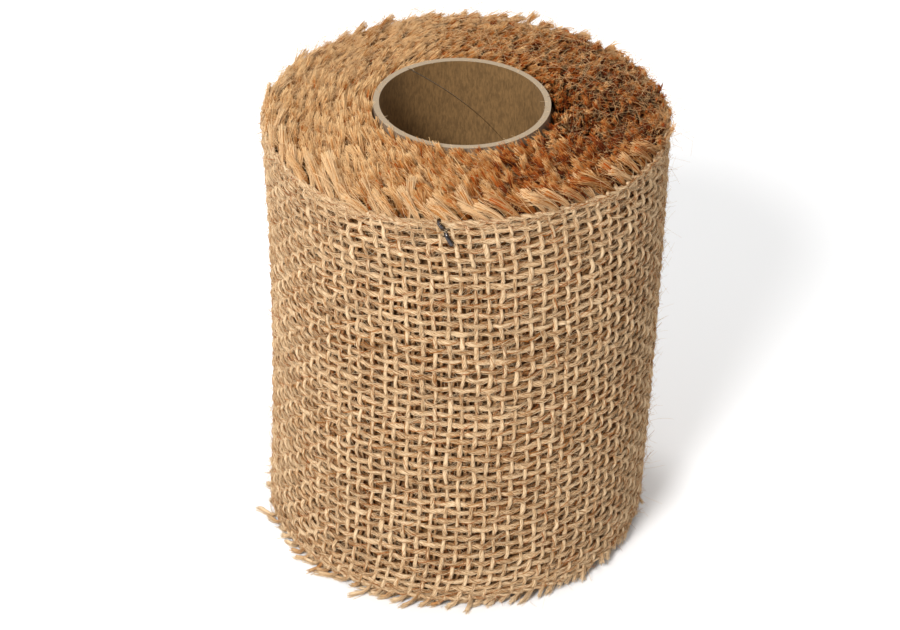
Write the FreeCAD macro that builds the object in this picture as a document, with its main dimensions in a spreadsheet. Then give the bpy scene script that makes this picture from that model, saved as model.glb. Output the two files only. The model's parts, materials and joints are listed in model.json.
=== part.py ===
"""A roll of fringed jute ribbon wound on a spirally wound paperboard core.

The roll stands on its end. The origin is on the axis of the core's bore, level with the surface that the
roll stands on. +Z points up along the core, and -Y is the side that carries the closing staple.
Lengths are in millimetres and angles are in degrees, counterclockwise seen from above, from +X.
"""
import FreeCAD, Part
import math
import os
import Sketcher

Vector = FreeCAD.Vector
Z_AXIS = Vector(0, 0, 1)

DIMENSIONS = [
    # the core: a tube of three paperboard plies
    ("bore_radius", 16.0),
    ("ply_thickness", 0.4),
    ("core_length", 93.0),
    ("seam_lead", 82.0),
    ("seam_gap", 0.3),
    ("seam_angle_at_rim", 131.0),
    ("seam_step_between_plies", 120.0),
    # the tape that holds the ribbon's first end
    ("tape_thickness", 0.2),
    ("tape_width", 12.0),
    ("tape_length", 76.0),
    # the ribbon: turns of cloth, wound as semicircles about two centres
    ("turn_count", 28),
    ("turn_pitch", 0.775),
    ("cloth_thickness", 0.45),
    ("lower_edge_height", 3.0),
    ("woven_width", 87.0),
    ("edge_yarn_width", 1.2),
    ("hinge_angle", 60.0),
    # the yarns that show on the outermost turn
    ("yarn_depth", 0.3),
    ("warp_pitch", 2.07),
    ("warp_width", 1.05),
    ("weft_pitch", 2.6),
    ("weft_width", 0.7),
    # the fringe: the cut ends of the weft yarns
    ("fringe_rise", 5.5),
    ("fringe_rise_at_core", 1.6),
    ("fringe_inner_slope", 6.0),
    ("fringe_outer_slope", 4.0),
    ("fringe_clearance_from_core", 0.2),
    # the ribbon's last end
    ("tail_sweep", 55.0),
    ("tail_root_gap", 0.3),
    ("tail_side_gap", 0.6),
    ("tail_fringe_foot", 0.3),
    # the staple that closes the roll
    ("staple_angle", 265.0),
    ("staple_tilt", 14.0),
    ("staple_crown", 6.0),
    ("staple_leg", 4.2),
    ("staple_wire", 0.5),
    ("staple_above_edge", 1.6),
]

doc = FreeCAD.newDocument("ribbon_spool")
sheet = doc.addObject("Spreadsheet::Sheet", "dimensions")
for row, (alias, number) in enumerate(DIMENSIONS, start=1):
    sheet.set(f"A{row}", alias)
    sheet.set(f"B{row}", str(number))
    sheet.setAlias(f"B{row}", alias)
doc.recompute()


def size(alias):
    """The number that the sheet holds under this alias."""
    return float(getattr(sheet, alias))


sub_parts = {}


def keep(node, thing):
    """Name an object as a sub-part of the roll."""
    thing.Label = node
    sub_parts[node] = thing
    return thing


def solid_feature(node, shape, placement=FreeCAD.Placement()):
    """A sub-part whose shape is made in code, because no sketch or primitive suits it."""
    feature = doc.addObject("Part::Feature", node)
    feature.Shape = shape
    feature.Placement = placement
    return keep(node, feature)


# ---------------------------------------------------------------- the core


def origin_plane(body, role):
    return next(item for item in body.Origin.OriginFeatures if item.Role == role)


def attached_sketch(body, name, role):
    sketch = body.newObject("Sketcher::SketchObject", name)
    sketch.AttachmentSupport = [(origin_plane(body, role), "")]
    sketch.MapMode = "FlatFace"
    return sketch


def bound_circle(sketch, expression):
    """A circle about the sketch's origin whose radius follows an expression."""
    circle = sketch.addGeometry(Part.Circle(Vector(), Z_AXIS, 20.0), False)
    sketch.addConstraint(Sketcher.Constraint("Coincident", circle, 3, -1, 1))
    radius = sketch.addConstraint(Sketcher.Constraint("Radius", circle, 20.0))
    sketch.setExpression(f"Constraints[{radius}]", expression)


def bound_rectangle(sketch, left, bottom, width, height):
    """A rectangle with its lower left corner at (left, bottom): four expressions."""
    corners = [(30.0, 10.0), (31.0, 10.0), (31.0, 11.0), (30.0, 11.0)]
    sides = []
    for here, there in zip(corners, corners[1:] + corners[:1]):
        sides.append(sketch.addGeometry(Part.LineSegment(Vector(*here, 0), Vector(*there, 0)), False))
    for side, following in zip(sides, sides[1:] + sides[:1]):
        sketch.addConstraint(Sketcher.Constraint("Coincident", side, 2, following, 1))
    for side, direction in zip(sides, ["Horizontal", "Vertical", "Horizontal", "Vertical"]):
        sketch.addConstraint(Sketcher.Constraint(direction, side))
    bindings = [
        (Sketcher.Constraint("DistanceX", -1, 1, sides[0], 1, 30.0), left),
        (Sketcher.Constraint("DistanceY", -1, 1, sides[0], 1, 10.0), bottom),
        (Sketcher.Constraint("DistanceX", sides[0], 1, sides[0], 2, 1.0), width),
        (Sketcher.Constraint("DistanceY", sides[1], 1, sides[1], 2, 1.0), height),
    ]
    for constraint, expression in bindings:
        number = sketch.addConstraint(constraint)
        sketch.setExpression(f"Constraints[{number}]", expression)


def wound_ply(node, layer):
    """One paperboard strip wound into a tube, with a helical gap where its two edges meet."""
    body = doc.addObject("PartDesign::Body", node)
    ring = attached_sketch(body, f"{node}_ring", "XY_Plane")
    inside = f"dimensions.bore_radius + {layer} * dimensions.ply_thickness"
    bound_circle(ring, inside)
    bound_circle(ring, f"{inside} + dimensions.ply_thickness")
    wall = body.newObject("PartDesign::Pad", f"{node}_wall")
    wall.Profile = ring
    wall.setExpression("Length", "dimensions.core_length")

    # the gap's section starts on the XZ plane, one lead below the height where it crosses that plane
    lead, rim_angle = size("seam_lead"), size("seam_angle_at_rim")
    crossing = size("core_length") - lead * ((rim_angle + layer * size("seam_step_between_plies")) % 360) / 360
    turns_down = math.ceil(crossing / lead)
    section = attached_sketch(body, f"{node}_seam_section", "XZ_Plane")
    start = (
        "dimensions.core_length - dimensions.seam_lead * (mod(dimensions.seam_angle_at_rim"
        f" + {layer} * dimensions.seam_step_between_plies; 360) / 360 + {turns_down})"
    )
    overcut = "0.5 * dimensions.ply_thickness"
    bound_rectangle(section, f"{inside} - {overcut}", start, "2 * dimensions.ply_thickness", "dimensions.seam_gap")
    seam = body.newObject("PartDesign::SubtractiveHelix", f"{node}_seam")
    seam.Profile = section
    seam.ReferenceAxis = (section, ["V_Axis"])
    seam.Mode = "pitch-height-angle"
    seam.setExpression("Pitch", "dimensions.seam_lead")
    seam.setExpression("Height", "2.5 * dimensions.seam_lead")
    return keep(node, body), wall, seam


plies = [wound_ply(f"core_{name}_ply", layer) for layer, name in enumerate(["inner", "middle", "outer"])]


def start_tape():
    """The double-sided tape between the core and the ribbon's first end."""
    body = doc.addObject("PartDesign::Body", "start_tape")
    section = attached_sketch(body, "start_tape_section", "XZ_Plane")
    bound_rectangle(
        section,
        "dimensions.bore_radius + 3 * dimensions.ply_thickness",
        "0.5 * (dimensions.core_length - dimensions.tape_length)",
        "dimensions.tape_thickness",
        "dimensions.tape_length",
    )
    strip = body.newObject("PartDesign::Revolution", "start_tape_strip")
    strip.Profile = section
    strip.ReferenceAxis = (section, ["V_Axis"])
    middle = "(dimensions.bore_radius + 3 * dimensions.ply_thickness + 0.5 * dimensions.tape_thickness)"
    strip.setExpression("Angle", f"dimensions.tape_width / {middle} * 180 / pi")
    body.Placement = FreeCAD.Placement(Vector(), FreeCAD.Rotation(Z_AXIS, size("hinge_angle")))
    return keep("start_tape", body)


start_tape()


# ---------------------------------------------------------------- the winding line


def direction(angle):
    return Vector(math.cos(math.radians(angle)), math.sin(math.radians(angle)), 0)


HINGE = size("hinge_angle")
HALF_PITCH = 0.5 * size("turn_pitch")
CORE_RADIUS = size("bore_radius") + 3 * size("ply_thickness")
FIRST_RADIUS = CORE_RADIUS + size("tape_thickness")
HALF_TURNS = int(2 * size("turn_count"))
CLOTH = size("cloth_thickness")
SKIN = 2 * size("yarn_depth")


def half_turn_radius(number):
    """The inner radius of a half turn of the ribbon, counted outwards from the core."""
    return FIRST_RADIUS + number * HALF_PITCH


def half_turn_centre(number):
    """Even half turns are centred on the core, and odd ones half a pitch towards the hinge."""
    return direction(HINGE) * (HALF_PITCH * (number % 2))


def point_on(number, angle, outwards=0.0):
    """A point of a half turn at an angle about its centre, some way outside the cloth's inner face."""
    return half_turn_centre(number) + direction(angle) * (half_turn_radius(number) + outwards)


def arc_on(number, start, end, outwards):
    """The arc of a half turn between two angles."""
    three = [point_on(number, angle, outwards) for angle in (start, 0.5 * (start + end), end)]
    return Part.Arc(*three).toShape()


def half_turn_span(number):
    """The first and last angle of a half turn, kept between the hinge angle and one turn past it."""
    start = HINGE + 180 * (number % 2)
    return start, start + 180


def strip_face(spans, inner, outer, height):
    """The flat plan of a strip that follows the winding: spans are (half turn, start, end) in order."""
    inside = [arc_on(number, start, end, inner) for number, start, end in spans]
    outside = [arc_on(number, start, end, outer) for number, start, end in spans]
    first_number, first_angle, _ = spans[0]
    last_number, _, last_angle = spans[-1]
    first_end = Part.makeLine(point_on(first_number, first_angle, inner), point_on(first_number, first_angle, outer))
    last_end = Part.makeLine(point_on(last_number, last_angle, inner), point_on(last_number, last_angle, outer))
    edges = Part.sortEdges(inside + outside + [first_end, last_end])[0]
    face = Part.Face(Part.Wire(edges))
    face.translate(Z_AXIS * height)
    return face


def strip(spans, inner, outer, low, high):
    return strip_face(spans, inner, outer, low).extrude(Z_AXIS * (high - low))


def gap_angle(gap, number, outwards):
    """The angle that a gap takes up on a half turn."""
    return math.degrees(gap / (half_turn_radius(number) + outwards))


# where the roll's own ribbon ends at the hinge, and where the tail begins and ends
ROOT_GAP = 0.5 * gap_angle(size("tail_root_gap"), HALF_TURNS, CLOTH)
INNER_SPANS = [(number, *half_turn_span(number)) for number in range(HALF_TURNS - 2)]
OUTER_SPANS = [
    (HALF_TURNS - 2, *half_turn_span(HALF_TURNS - 2)),
    (HALF_TURNS - 1, HINGE + 180, HINGE + 360 - ROOT_GAP),
]
ROLL_SPANS = INNER_SPANS + OUTER_SPANS
TAIL_START = HINGE + ROOT_GAP
TAIL_END = HINGE + size("tail_sweep")
TAIL_SPANS = [(HALF_TURNS, TAIL_START, TAIL_END)]

# the part of the last turn that shows, which the tail doesn't cover
SHOWN_START = TAIL_END + gap_angle(size("tail_side_gap"), HALF_TURNS, CLOTH)
SHOWN_SPANS = [(HALF_TURNS - 2, SHOWN_START, HINGE + 180), OUTER_SPANS[-1]]

LOWER_EDGE = size("lower_edge_height")
UPPER_EDGE = LOWER_EDGE + size("woven_width")
EDGE_YARN = size("edge_yarn_width")
WEB_LOW = LOWER_EDGE + EDGE_YARN
WEB_HIGH = UPPER_EDGE - EDGE_YARN
FRINGE_TOP = UPPER_EDGE + size("fringe_rise")


# ---------------------------------------------------------------- the ribbon on the roll


def weft_angles(number, start, end):
    """The angles of the weft yarns on one stretch of a half turn, evenly spread at about the weft pitch."""
    length = math.radians(end - start) * half_turn_radius(number)
    count = int(length / size("weft_pitch"))
    return [start + (end - start) * (k + 0.5) / count for k in range(count)]


def weft_rods(spans, low, high):
    """One upright rod for each weft yarn, laid on the outside of the warp yarns."""
    depth, width = size("yarn_depth"), size("weft_width")
    rods = []
    for number, start, end in spans:
        for angle in weft_angles(number, start, end):
            rod = Part.makeBox(depth, width, high - low, Vector(0, -0.5 * width, low))
            rod.rotate(Vector(), Z_AXIS, angle)
            rod.translate(point_on(number, angle, CLOTH + depth))
            rods.append(rod)
    return Part.Compound(rods)


def warp_bands(spans, low, high):
    """One band for each warp yarn, laid on the outside of the cloth."""
    count = round((high - low) / size("warp_pitch"))
    pitch = (high - low) / count
    width, depth = size("warp_width"), size("yarn_depth")
    bands = []
    for k in range(count):
        foot = low + pitch * (k + 0.5) - 0.5 * width
        bands.append(strip(spans, CLOTH, CLOTH + depth, foot, foot + width))
    return Part.Compound(bands)


def fringe_plan(height):
    """The plan of the roll's fringe: from just outside the core to the outside of the last whole turn."""
    outer_arcs = [arc_on(number, start, end, CLOTH) for number, start, end in
                  [(n, *half_turn_span(n)) for n in (HALF_TURNS - 2, HALF_TURNS - 1)]]
    step = Part.makeLine(point_on(HALF_TURNS - 1, HINGE + 360, CLOTH), point_on(HALF_TURNS - 2, HINGE, CLOTH))
    outline = Part.Wire(Part.sortEdges(outer_arcs + [step])[0])
    hole = Part.Wire(Part.makeCircle(CORE_RADIUS + size("fringe_clearance_from_core"), Vector(), Z_AXIS))
    face = Part.Face(outline).cut(Part.Face(hole)).Faces[0]
    face.translate(Z_AXIS * height)
    return face


def fringe_crown():
    """The top fringe: low beside the core, and leaning in from the outside of the roll."""
    inner_radius = CORE_RADIUS
    outer_radius = half_turn_radius(HALF_TURNS) + size("turn_pitch")
    profile = [
        Vector(inner_radius, 0, UPPER_EDGE - 1),
        Vector(inner_radius, 0, UPPER_EDGE + size("fringe_rise_at_core")),
        Vector(inner_radius + size("fringe_inner_slope"), 0, FRINGE_TOP),
        Vector(outer_radius - size("fringe_outer_slope"), 0, FRINGE_TOP),
        Vector(outer_radius, 0, UPPER_EDGE + 1),
        Vector(outer_radius, 0, UPPER_EDGE - 1),
    ]
    envelope = Part.Face(Part.makePolygon(profile + profile[:1])).revolve(Vector(), Z_AXIS, 360)
    return fringe_plan(UPPER_EDGE).extrude(Z_AXIS * size("fringe_rise")).common(envelope).Solids[0]


solid_feature("ribbon_inner_turns", strip(INNER_SPANS, 0, CLOTH, WEB_LOW, WEB_HIGH))
solid_feature("ribbon_outer_turn", strip(OUTER_SPANS, 0, CLOTH, WEB_LOW, WEB_HIGH))
solid_feature("edge_yarn_top", strip(ROLL_SPANS, 0, CLOTH, WEB_HIGH, UPPER_EDGE))
solid_feature("edge_yarn_bottom", strip(ROLL_SPANS, 0, CLOTH, LOWER_EDGE, WEB_LOW))
solid_feature("outer_warp_yarns", warp_bands(SHOWN_SPANS, WEB_LOW, WEB_HIGH))
solid_feature("outer_weft_yarns", weft_rods(SHOWN_SPANS, LOWER_EDGE, UPPER_EDGE))
solid_feature("fringe_top", fringe_crown())
solid_feature("fringe_bottom", fringe_plan(0).extrude(Z_AXIS * LOWER_EDGE))


# ---------------------------------------------------------------- the ribbon's last end


solid_feature("tail_cloth", strip(TAIL_SPANS, 0, CLOTH, WEB_LOW, WEB_HIGH))
solid_feature("tail_edge_yarn_top", strip(TAIL_SPANS, 0, CLOTH, WEB_HIGH, UPPER_EDGE))
solid_feature("tail_edge_yarn_bottom", strip(TAIL_SPANS, 0, CLOTH, LOWER_EDGE, WEB_LOW))
solid_feature("tail_warp_yarns", warp_bands(TAIL_SPANS, WEB_LOW, WEB_HIGH))
solid_feature("tail_weft_yarns", weft_rods(TAIL_SPANS, LOWER_EDGE, UPPER_EDGE))
solid_feature("tail_fringe_top", strip(TAIL_SPANS, 0, CLOTH, UPPER_EDGE, FRINGE_TOP))
solid_feature("tail_fringe_bottom", strip(TAIL_SPANS, 0, CLOTH, size("tail_fringe_foot"), LOWER_EDGE))


# ---------------------------------------------------------------- the staple


def wire_staple():
    """A staple with its crown along Z at the origin and its legs towards -X."""
    wire, crown, leg = size("staple_wire"), size("staple_crown"), size("staple_leg")
    bar = Part.makeBox(wire, wire, crown, Vector(0, -0.5 * wire, -0.5 * crown))
    upper = Part.makeBox(leg, wire, wire, Vector(-leg, -0.5 * wire, 0.5 * crown - wire))
    lower = Part.makeBox(leg, wire, wire, Vector(-leg, -0.5 * wire, -0.5 * crown))
    return bar.fuse([upper, lower]).removeSplitter().Solids[0]


def staple_placement():
    """The crown lies on the yarns across the top edge, with its legs into the turns below."""
    angle = size("staple_angle")
    middle_height = UPPER_EDGE + size("staple_above_edge") - 0.5 * size("staple_crown")
    foot = point_on(HALF_TURNS - 1, angle, CLOTH + SKIN) + Z_AXIS * middle_height
    turn = FreeCAD.Rotation(Z_AXIS, angle)
    tilt = FreeCAD.Rotation(Vector(1, 0, 0), size("staple_tilt"))
    return FreeCAD.Placement(foot, turn.multiply(tilt))


solid_feature("closing_staple", wire_staple(), staple_placement())


# ---------------------------------------------------------------- test and write


def ribbon_length():
    """The length of the cloth's middle line, from the tape to the end of the tail."""
    spans = ROLL_SPANS + TAIL_SPANS
    return sum(math.radians(end - start) * (half_turn_radius(n) + 0.5 * CLOTH) for n, start, end in spans)


doc.recompute()
for item in doc.Objects:
    if "Invalid" in item.State or "Error" in item.State:
        raise RuntimeError(f"{item.Label} failed: {item.State}")
for ply, wall, seam in plies:
    if seam.Shape.Volume >= wall.Shape.Volume:
        raise RuntimeError(f"the seam of {ply.Label} cut nothing")
for node, thing in sub_parts.items():
    if thing.Shape.isNull() or not thing.Shape.isValid():
        raise RuntimeError(f"{node} has no valid shape")

os.makedirs("parts", exist_ok=True)
for node, thing in sub_parts.items():
    thing.Shape.exportStep(f"parts/{node}.step")
    box = thing.Shape.BoundBox
    print(
        f"{node:24s} solids {len(thing.Shape.Solids):4d}  volume {thing.Shape.Volume:10.1f}  "
        f"x {box.XMin:7.2f} {box.XMax:7.2f}  y {box.YMin:7.2f} {box.YMax:7.2f}  z {box.ZMin:6.2f} {box.ZMax:6.2f}"
    )
print(f"ribbon length {ribbon_length():.0f} mm")
hinge_line = point_on(HALF_TURNS, HINGE, CLOTH + SKIN)
print(f"tail hinge at x {hinge_line.x:.3f} y {hinge_line.y:.3f}")
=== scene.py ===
"""The looks of a roll of fringed jute ribbon on a cardboard core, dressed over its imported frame.

The ribbon is followed by two coordinates: the number of turns from its first end, and the height. Yarns,
fringe fibres and stray hairs are all bundles of thin tubes along lines in those coordinates.
"""
import json
import math

import bpy
import numpy as np
from mathutils import Matrix, Vector


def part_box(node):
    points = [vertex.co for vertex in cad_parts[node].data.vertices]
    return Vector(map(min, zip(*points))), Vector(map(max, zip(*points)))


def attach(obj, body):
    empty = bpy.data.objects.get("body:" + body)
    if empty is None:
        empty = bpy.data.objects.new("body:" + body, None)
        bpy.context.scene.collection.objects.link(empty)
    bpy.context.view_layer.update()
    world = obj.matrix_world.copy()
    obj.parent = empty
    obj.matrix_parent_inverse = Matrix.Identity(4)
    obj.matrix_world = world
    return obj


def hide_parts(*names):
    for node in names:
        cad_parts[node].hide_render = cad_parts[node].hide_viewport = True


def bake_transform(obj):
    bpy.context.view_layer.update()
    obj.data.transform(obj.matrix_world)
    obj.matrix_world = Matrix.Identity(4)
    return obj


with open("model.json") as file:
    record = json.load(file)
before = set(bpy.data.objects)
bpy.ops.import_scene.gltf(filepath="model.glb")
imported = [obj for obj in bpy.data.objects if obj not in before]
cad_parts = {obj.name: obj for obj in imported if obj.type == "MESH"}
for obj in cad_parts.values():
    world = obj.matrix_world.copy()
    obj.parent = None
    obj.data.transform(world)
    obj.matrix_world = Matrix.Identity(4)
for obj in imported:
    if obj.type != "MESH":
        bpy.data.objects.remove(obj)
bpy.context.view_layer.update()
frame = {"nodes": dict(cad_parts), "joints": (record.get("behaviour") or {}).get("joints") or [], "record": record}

MM = 0.001
TAU = 2 * math.pi
UP = np.array([0, 0, 1.0])
chance = np.random.default_rng(20)

# ---------------------------------------------------------------- sizes

HINGE = frame["joints"][0]
HINGE_POINT = np.array(HINGE["pos_m"])
HINGE_ANGLE = math.atan2(HINGE_POINT[1], HINGE_POINT[0])
CORE_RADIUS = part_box("core_outer_ply")[1].x
CORE_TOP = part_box("core_inner_ply")[1].z
BORE_RADIUS = frame["record"]["mounts"][0]["dims"]["r_mm"] * MM
LOWER_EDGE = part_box("outer_weft_yarns")[0].z
UPPER_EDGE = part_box("outer_weft_yarns")[1].z
MIDDLE = 0.5 * (LOWER_EDGE + UPPER_EDGE)

TURNS = 28
TURN_PITCH = 0.775 * MM
FIRST_RADIUS = CORE_RADIUS + 0.2 * MM
OUTER_RADIUS = FIRST_RADIUS + TURN_PITCH * TURNS
TAIL_TURNS = 55 / 360
CLOTH_MIDDLE = 0.55 * MM     # the cloth's middle line, out from the CAD strip's inner face

# the roll is soft: at its bottom, middle and top its side is drawn in and has slid off the core's axis by so
# much, its upper edge ripples at the front and sinks at the back, and its lower edge hangs at the front left
DRAWN_IN = np.array([1.3, 1.0, 0.0]) * MM
OFF_AXIS = np.array([(0.6, -1.3), (1.4, -0.3), (0.5, 0.6)]) * MM
RIPPLE = 1.2 * MM
SUNK = 0.9 * MM
SUNK_MORE = 1.4              # times SUNK, added at the left of the back
SUNK_MORE_AT = math.radians(152)
HUNG = 1.6 * MM
HUNG_AT = math.radians(212)

WARP_PITCH = 2.07 * MM
WEFT_PITCH = 2.6 * MM
WARP_HALF_WIDTH = 0.50 * MM
WEFT_HALF_WIDTH = 0.39 * MM
WARP_HALF_DEPTH = 0.24 * MM
WEFT_HALF_DEPTH = 0.28 * MM
WARP_CRIMP = 0.20 * MM
WEFT_CRIMP = 0.34 * MM
PINCH = 0.10                 # how much narrower a yarn is where it crosses another
SWELL = 0.20                 # how much a yarn's width swells and shrinks along it
SWELL_LENGTH = 7 * MM
YARN_SIDES = 8

LOCK_INSET = 0.35 * MM       # the lock yarn, from the edge of the cloth
LOCK_SWAY = 0.22 * MM
LOCK_CRIMP = 0.30 * MM
LOCK_HALF_WIDTH = 0.29 * MM

# near the edges the wefts have been rubbed round the roll by so much, over the last so many millimetres
RUB_TOP, RUB_TOP_REACH = 2.1 * MM, 14 * MM
RUB_BOTTOM, RUB_BOTTOM_REACH = 1.2 * MM, 9 * MM

TUFT_REACH = OUTER_RADIUS + 4.5 * MM
HAIR_REACH = OUTER_RADIUS + 6 * MM
TABLE_GAP = 0.02 * MM        # nothing on the roll is lower than this, and the floor is as far below zero
LOWEST = 0.5 * MM            # the lowest middle line of a tuft or side hair


def unit(vectors):
    return vectors / np.linalg.norm(vectors, axis=-1, keepdims=True)


def winding_radius(turns):
    """The inner face of the CAD strip: even half turns are centred on the core, odd ones half a pitch off."""
    whole = np.floor(turns)
    part = turns - whole
    outward = np.where(part > 0.5, 0.5 * TURN_PITCH * (1 + np.cos(TAU * part)), 0.0)
    return FIRST_RADIUS + TURN_PITCH * whole + outward


def depth_share(radius):
    """0 at the core and 1 at the outside of the roll."""
    return np.clip((radius - CORE_RADIUS) / (OUTER_RADIUS - CORE_RADIUS), 0, 1)


def settled(turns, radius, height):
    """Points of the wound ribbon, slid off the axis, drawn in and rippled as a soft roll is."""
    turns, radius, height = np.broadcast_arrays(turns, radius, height)
    level = np.clip((height - MIDDLE) / (UPPER_EDGE - MIDDLE), -1, 1)
    share = depth_share(radius)
    # a parabola through the values at the bottom, the middle and the top
    weights = np.stack([level * (level - 1) / 2, 1 - level**2, level * (level + 1) / 2], -1)
    points = outward_at(turns) * (radius - share * (weights @ DRAWN_IN))[..., None]
    points[..., :2] += share[..., None] * (weights @ OFF_AXIS)
    angle = HINGE_ANGLE + TAU * turns
    front, back = np.clip(-np.sin(angle), 0, 1), np.clip(np.sin(angle), 0, 1)
    left_back = np.clip(np.cos(angle - SUNK_MORE_AT), 0, 1) ** 6
    shift = RIPPLE * np.sin(2 * angle) * front + SUNK * (back + SUNK_MORE * left_back)
    hung = HUNG * (0.5 + 0.5 * np.cos(angle - HUNG_AT))
    points[..., 2] = height - share * (shift * np.clip(level, 0, 1)**2 + hung * np.clip(-level, 0, 1)**3)
    return points


def outward_at(turns):
    """The direction out from the core's axis at a number of turns."""
    angle = HINGE_ANGLE + TAU * turns
    return np.stack([np.cos(angle), np.sin(angle), np.zeros_like(angle)], -1)


def clockwise_at(turns):
    """The direction clockwise round the roll, seen from above, at a number of turns."""
    angle = HINGE_ANGLE + TAU * turns
    return np.stack([np.sin(angle), -np.cos(angle), np.zeros_like(angle)], -1)


def on_roll(turns, height, outward):
    """Points at a number of turns and a height, some way out from the CAD strip's inner face."""
    return settled(turns, winding_radius(turns) + outward, height)


def wander(along, count, scale, amount):
    """A smooth random drift for each of count yarns. along is a row for each of them, or one row for all."""
    total, swing = 0, 2.2        # the sum seldom goes past its swing
    for octave in (0.6, 1.0, 1.7, 2.6):
        phase = chance.uniform(0, TAU, (count, 1))
        pace = octave * chance.uniform(0.8, 1.25, (count, 1)) / scale
        total = total + np.sin(TAU * along * pace + phase) / octave
    return amount * total / swing


# ---------------------------------------------------------------- meshes of many tubes


def held_within(lines, reach):
    """Draws back, in place, whatever stands further than reach from the core's axis."""
    radial = np.linalg.norm(lines[..., :2], axis=-1)
    lines[..., :2] *= (np.minimum(radial, reach) / np.maximum(radial, MM))[..., None]


def make_mesh(name, points, quads, tris, maps, material):
    """An object from its points and faces. maps gives (u, v) for each corner, quads first."""
    mesh = bpy.data.meshes.new(name)
    corners = np.concatenate([quads.ravel(), tris.ravel()]).astype(np.int32)
    sizes = np.concatenate([np.full(len(quads), 4), np.full(len(tris), 3)])
    mesh.vertices.add(len(points))
    mesh.vertices.foreach_set("co", points.astype(np.float32).ravel())
    mesh.loops.add(len(corners))
    mesh.loops.foreach_set("vertex_index", corners)
    mesh.polygons.add(len(sizes))
    mesh.polygons.foreach_set("loop_start", (np.cumsum(sizes) - sizes).astype(np.int32))
    mesh.polygons.foreach_set("use_smooth", np.ones(len(sizes), bool))
    for layer, values in maps.items():
        uv = mesh.uv_layers.new(name=layer)
        uv.data.foreach_set("uv", values.astype(np.float32).ravel())
    mesh.update(calc_edges=True)
    mesh.validate()
    mesh.materials.append(material)
    piece = bpy.data.objects.new(name, mesh)
    bpy.context.scene.collection.objects.link(piece)
    return piece


def cross_axes(lines, normals):
    """The directions across each line and through it, along its normals."""
    tangent = unit(np.gradient(lines, axis=1))
    across = unit(np.cross(tangent, normals))
    return across, np.cross(across, tangent)


def tubes(lines, normals, half_width, half_depth, sides, lumps=1.0):
    """Tubes along lines (count, rings, 3), flat across the normals and closed at both ends.

    Returns points, quads, tris, and for each corner the tube's number, its share along and its share around.
    """
    count, rings = lines.shape[:2]
    across, through = cross_axes(lines, normals)
    turn = TAU * np.arange(sides) / sides - 0.5 * math.pi
    wide = np.broadcast_to(half_width, (count, rings))[..., None] * np.cos(turn) * lumps
    deep = np.broadcast_to(half_depth, (count, rings))[..., None] * np.sin(turn) * lumps
    points = lines[:, :, None] + across[:, :, None] * wide[..., None] + through[:, :, None] * deep[..., None]
    points[..., 2] = np.maximum(points[..., 2], TABLE_GAP)

    index = np.arange(count * rings * sides).reshape(count, rings, sides)
    beside = np.roll(index, -1, axis=2)
    quads = np.stack([index[:, :-1], index[:, 1:], beside[:, 1:], beside[:, :-1]], -1).reshape(-1, 4)
    fan = np.array([[0, k, k + 1] for k in range(1, sides - 1)])
    first = index[:, 0][:, fan].reshape(-1, 3)
    last = index[:, -1][:, fan[:, ::-1]].reshape(-1, 3)

    number, ring, side = np.meshgrid(np.arange(count), np.arange(rings - 1), np.arange(sides), indexing="ij")
    steps = np.array([[0, 0], [1, 0], [1, 1], [0, 1]])
    along = (ring[..., None] + steps[:, 0]) / (rings - 1)
    around = (side[..., None] + steps[:, 1]) / sides
    numbers = np.broadcast_to(number[..., None], along.shape)
    caps = len(first) * 3
    cap_number = np.repeat(np.arange(count), caps // count)
    number = np.concatenate([numbers.ravel(), cap_number, cap_number])
    along = np.concatenate([along.ravel(), np.zeros(caps), np.ones(caps)])
    around = np.concatenate([around.ravel(), np.full(2 * caps, 0.5)])
    return points.reshape(-1, 3), quads, np.concatenate([first, last]), number, along, around


def yarn_piece(name, material, lines, normals, half_width, half_depth, sides, lumps, marks=0.0):
    """Yarns as tubes. The map "yarn" is in millimetres along and around, and starts at marks.

    In the map "OFBake" each yarn has a strip of the picture to itself.
    """
    points, quads, tris, number, along, around = tubes(lines, normals, half_width, half_depth, sides, lumps)
    count = len(lines)
    lengths = np.linalg.norm(np.diff(lines, axis=1), axis=-1).sum(1) / MM
    girth = math.pi * (np.mean(half_width) + np.mean(half_depth)) / MM
    apart = 4 * girth
    starts = np.broadcast_to(marks, (count,))
    in_mm = np.stack([along * lengths[number] + starts[number], around * girth + number * apart], -1)
    margin = 0.06
    strip = np.stack([along, (number + margin + around * (1 - 2 * margin)) / count], -1)
    return make_mesh(name, points, quads, tris, {"yarn": in_mm, "OFBake": strip}, material)


def wound_fibres(lines, normals, half_width, half_depth, strands, spacing, loose):
    """Loose fibres that wind round each yarn, standing a little off it here and there."""
    one_wind = 7.5 * MM
    count, rings = lines.shape[:2]
    across, through = cross_axes(lines, normals)
    along = np.arange(rings)[None] * spacing
    shape = (strands, count, rings)
    turn = np.arange(strands)[:, None, None] / strands + chance.uniform(0, 1, (strands, count, 1))
    turn = turn + along / one_wind + wander(along, strands * count, 11 * MM, 0.10).reshape(shape)
    reach = 1.04 + np.abs(wander(along, strands * count, 3.6 * MM, loose)).reshape(shape)
    wide = np.broadcast_to(half_width, (count, rings)) * reach * np.cos(TAU * turn)
    deep = np.broadcast_to(half_depth, (count, rings)) * reach * np.sin(TAU * turn)
    paths = lines + across * wide[..., None] + through * deep[..., None]
    return paths.reshape(-1, rings, 3)


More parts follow.
